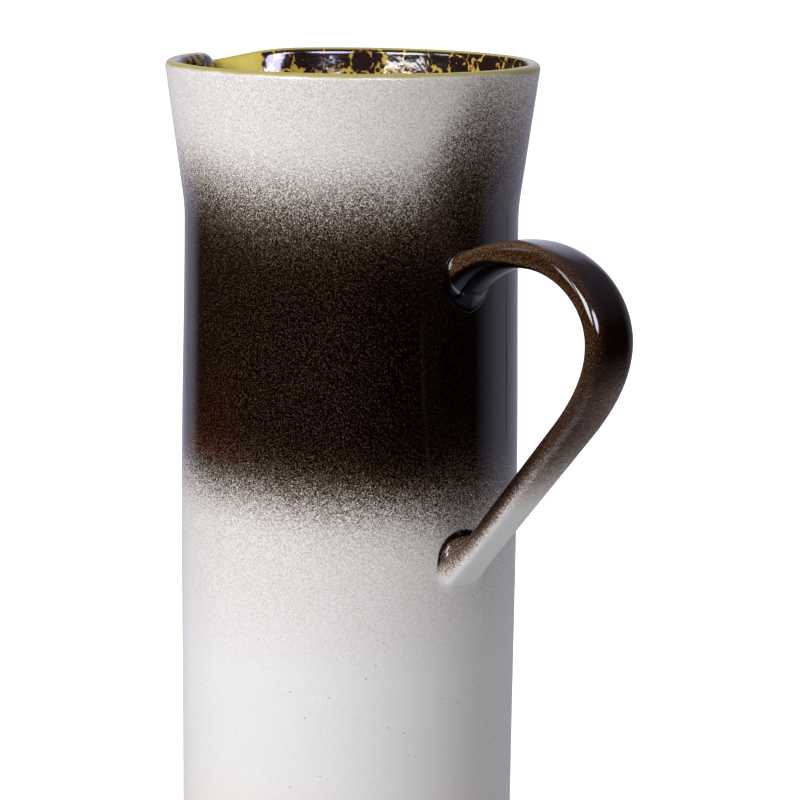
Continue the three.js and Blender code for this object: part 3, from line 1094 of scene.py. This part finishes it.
def add_surround(stage):
    """World that is white behind, above and under the jug, and dark in front of it."""
    world = bpy.data.worlds.new("studio")
    bpy.context.scene.world = world
    world.use_nodes = True
    graph = NodeGraph(world.node_tree)
    view = graph.add("ShaderNodeTexCoord").outputs["Generated"]
    path = graph.add("ShaderNodeLightPath").outputs
    mirrored = path["Is Glossy Ray"]
    steepness = graph.math("ABSOLUTE", graph.add("ShaderNodeSeparateXYZ", {0: view}).outputs[2])
    paper_shine = graph.ramp(steepness, 0.3, 0.6, stage.surround_shine, 0.1)
    window_shine = graph.ramp(path["Glossy Depth"], 1, 2, stage.window_shine, 0)
    # Direction, edge, full, strength of its light, strength as the glaze mirrors it
    sides = (
        (studio_place(stage, 150), 0.57, 0.85, stage.surround, paper_shine),
        (studio_place(stage, 176, 0.94, 0.34), 0.88, 0.97, 0, stage.backdrop_shine),
        (studio_place(stage, -150, 0.927, -0.375), 0.9, 0.955, 0, stage.edge_shine),
        (studio_place(stage, 16, 0.89, 0.454), 0.964, 0.974, 0, window_shine),
        (studio_place(stage, 135.5, 0.99, -0.14), 0.9992, 0.9998, 0, stage.seam_shine),
        (studio_place(stage, -110), 0.4, 0.9, stage.side_paper, 0),
        (studio_place(stage, -60, 0.31, -0.95), 0.84, 0.94, 0, stage.table_shine),
        (studio_place(stage, 0, 0, 1), 0.2, 0.9, stage.ceiling, stage.ceiling_shine),
        (studio_place(stage, 0, 0, -1), 0.3, 0.55, stage.bounce, stage.bounce_shine),
    )
    strength = path["Is Camera Ray"]
    for direction, edge, full, light, shine in sides:
        seen = graph.blend(mirrored, light, shine)
        side = graph.ramp(graph.towards(view, direction), edge, full, 0.0, seen)
        strength = graph.math("ADD", strength, side)
    background = world.node_tree.nodes["Background"].inputs
    graph.set(background["Color"], graph.mix(mirrored, (1, 1, 1), SHINE_TINT))
    graph.set(background["Strength"], strength)


def add_floor(stage):
    """A pale floor that the camera sees, but that the jug neither mirrors nor takes light from."""
    clear_selection()
    bpy.ops.mesh.primitive_plane_add(size=40)
    floor = bpy.context.object
    floor.name = "studio_floor"
    paper = bpy.data.materials.new("pale_paper")
    paper.use_nodes = True
    surface = paper.node_tree.nodes["Principled BSDF"].inputs
    surface["Base Color"].default_value = (0.9, 0.9, 0.9, 1)
    surface["Roughness"].default_value = 0.9
    surface["Specular IOR Level"].default_value = 0
    surface["Emission Color"].default_value = (1, 1, 1, 1)
    surface["Emission Strength"].default_value = stage.floor_glow
    floor.data.materials.append(paper)
    floor.visible_glossy = False
    floor.visible_diffuse = False


def add_camera(stage, body):
    """The camera at the photograph's place."""
    bpy.ops.object.camera_add()
    camera = bpy.context.object
    camera.name = "photo_camera"
    camera.location = studio_place(stage, 0, stage.distance, body.height + stage.above_rim)
    level = Euler((math.pi / 2 - stage.pitch, 0, stage.azimuth - stage.yaw)).to_matrix()
    camera.rotation_euler = (level @ Matrix.Rotation(stage.roll, 3, "Z")).to_euler()
    camera.data.lens = stage.lens
    camera.data.sensor_width = FILM_WIDTH
    bpy.context.scene.camera = camera


class JUG_OT_studio(bpy.types.Operator):
    """Add the floor, the lights and the camera"""

    bl_idname = "jug.studio"
    bl_label = "Studio"

    def execute(self, context):
        scene = context.scene
        stage, body = scene.jug_stage, scene.jug_body
        add_floor(stage)
        add_surround(stage)
        middle = Vector((0, 0, body.height / 2))
        # Name, place, width, height, power and whether the glaze mirrors it
        softboxes = (
            ("key_softbox", studio_place(stage, -37.5, 1.7, 1.0), 0.95, 0.85, stage.key_power, True),
            ("side_softbox", studio_place(stage, -68, 1.6, 0.97), 0.32, 0.7, stage.side_power, True),
            ("fill_softbox", studio_place(stage, 60, 1.8, 0.6), 0.9, 0.25, stage.fill_power, False),
        )
        for name, place, width, height, power, mirrored in softboxes:
            add_softbox(name, place, middle, width, height, power, mirrored)
        add_camera(stage, body)
        scene.view_settings.view_transform = "Standard"
        scene.view_settings.look = "None"
        return {"FINISHED"}


class JUG_PT_panel(bpy.types.Panel):
    """Lists the jug's pieces and settings"""

    bl_idname = "JUG_PT_panel"
    bl_label = "Stoneware Jug"
    bl_space_type = "VIEW_3D"
    bl_region_type = "UI"
    bl_category = "Jug"

    def draw(self, context):
        for operator in PIECES:
            self.layout.operator(operator.bl_idname)
        for group_name in SETTINGS:
            group = getattr(context.scene, group_name)
            box = self.layout.box()
            for key in group.bl_rna.properties.keys():
                if key not in ("rna_type", "name"):
                    box.prop(group, key, text=key.replace("_", " ").capitalize())


SETTINGS = {
    "jug_body": JugBodySizes,
    "jug_handle": JugHandleSizes,
    "jug_glaze": JugGlazeLooks,
    "jug_stage": JugStageLooks,
}
PIECES = (JUG_OT_body_shell, JUG_OT_strap_handle, JUG_OT_slip_joints, JUG_OT_studio)


def register():
    for cls in (*SETTINGS.values(), *PIECES, JUG_PT_panel):
        bpy.utils.register_class(cls)
    for name, group in SETTINGS.items():
        setattr(bpy.types.Scene, name, PointerProperty(type=group))


def unregister():
    for name in SETTINGS:
        delattr(bpy.types.Scene, name)
    for cls in reversed((*SETTINGS.values(), *PIECES, JUG_PT_panel)):
        bpy.utils.unregister_class(cls)


def main():
    register()
    bpy.ops.jug.body_shell()
    bpy.ops.jug.strap_handle()
    bpy.ops.jug.slip_joints()
    bpy.ops.jug.studio()


if __name__ == "__main__":
    main()
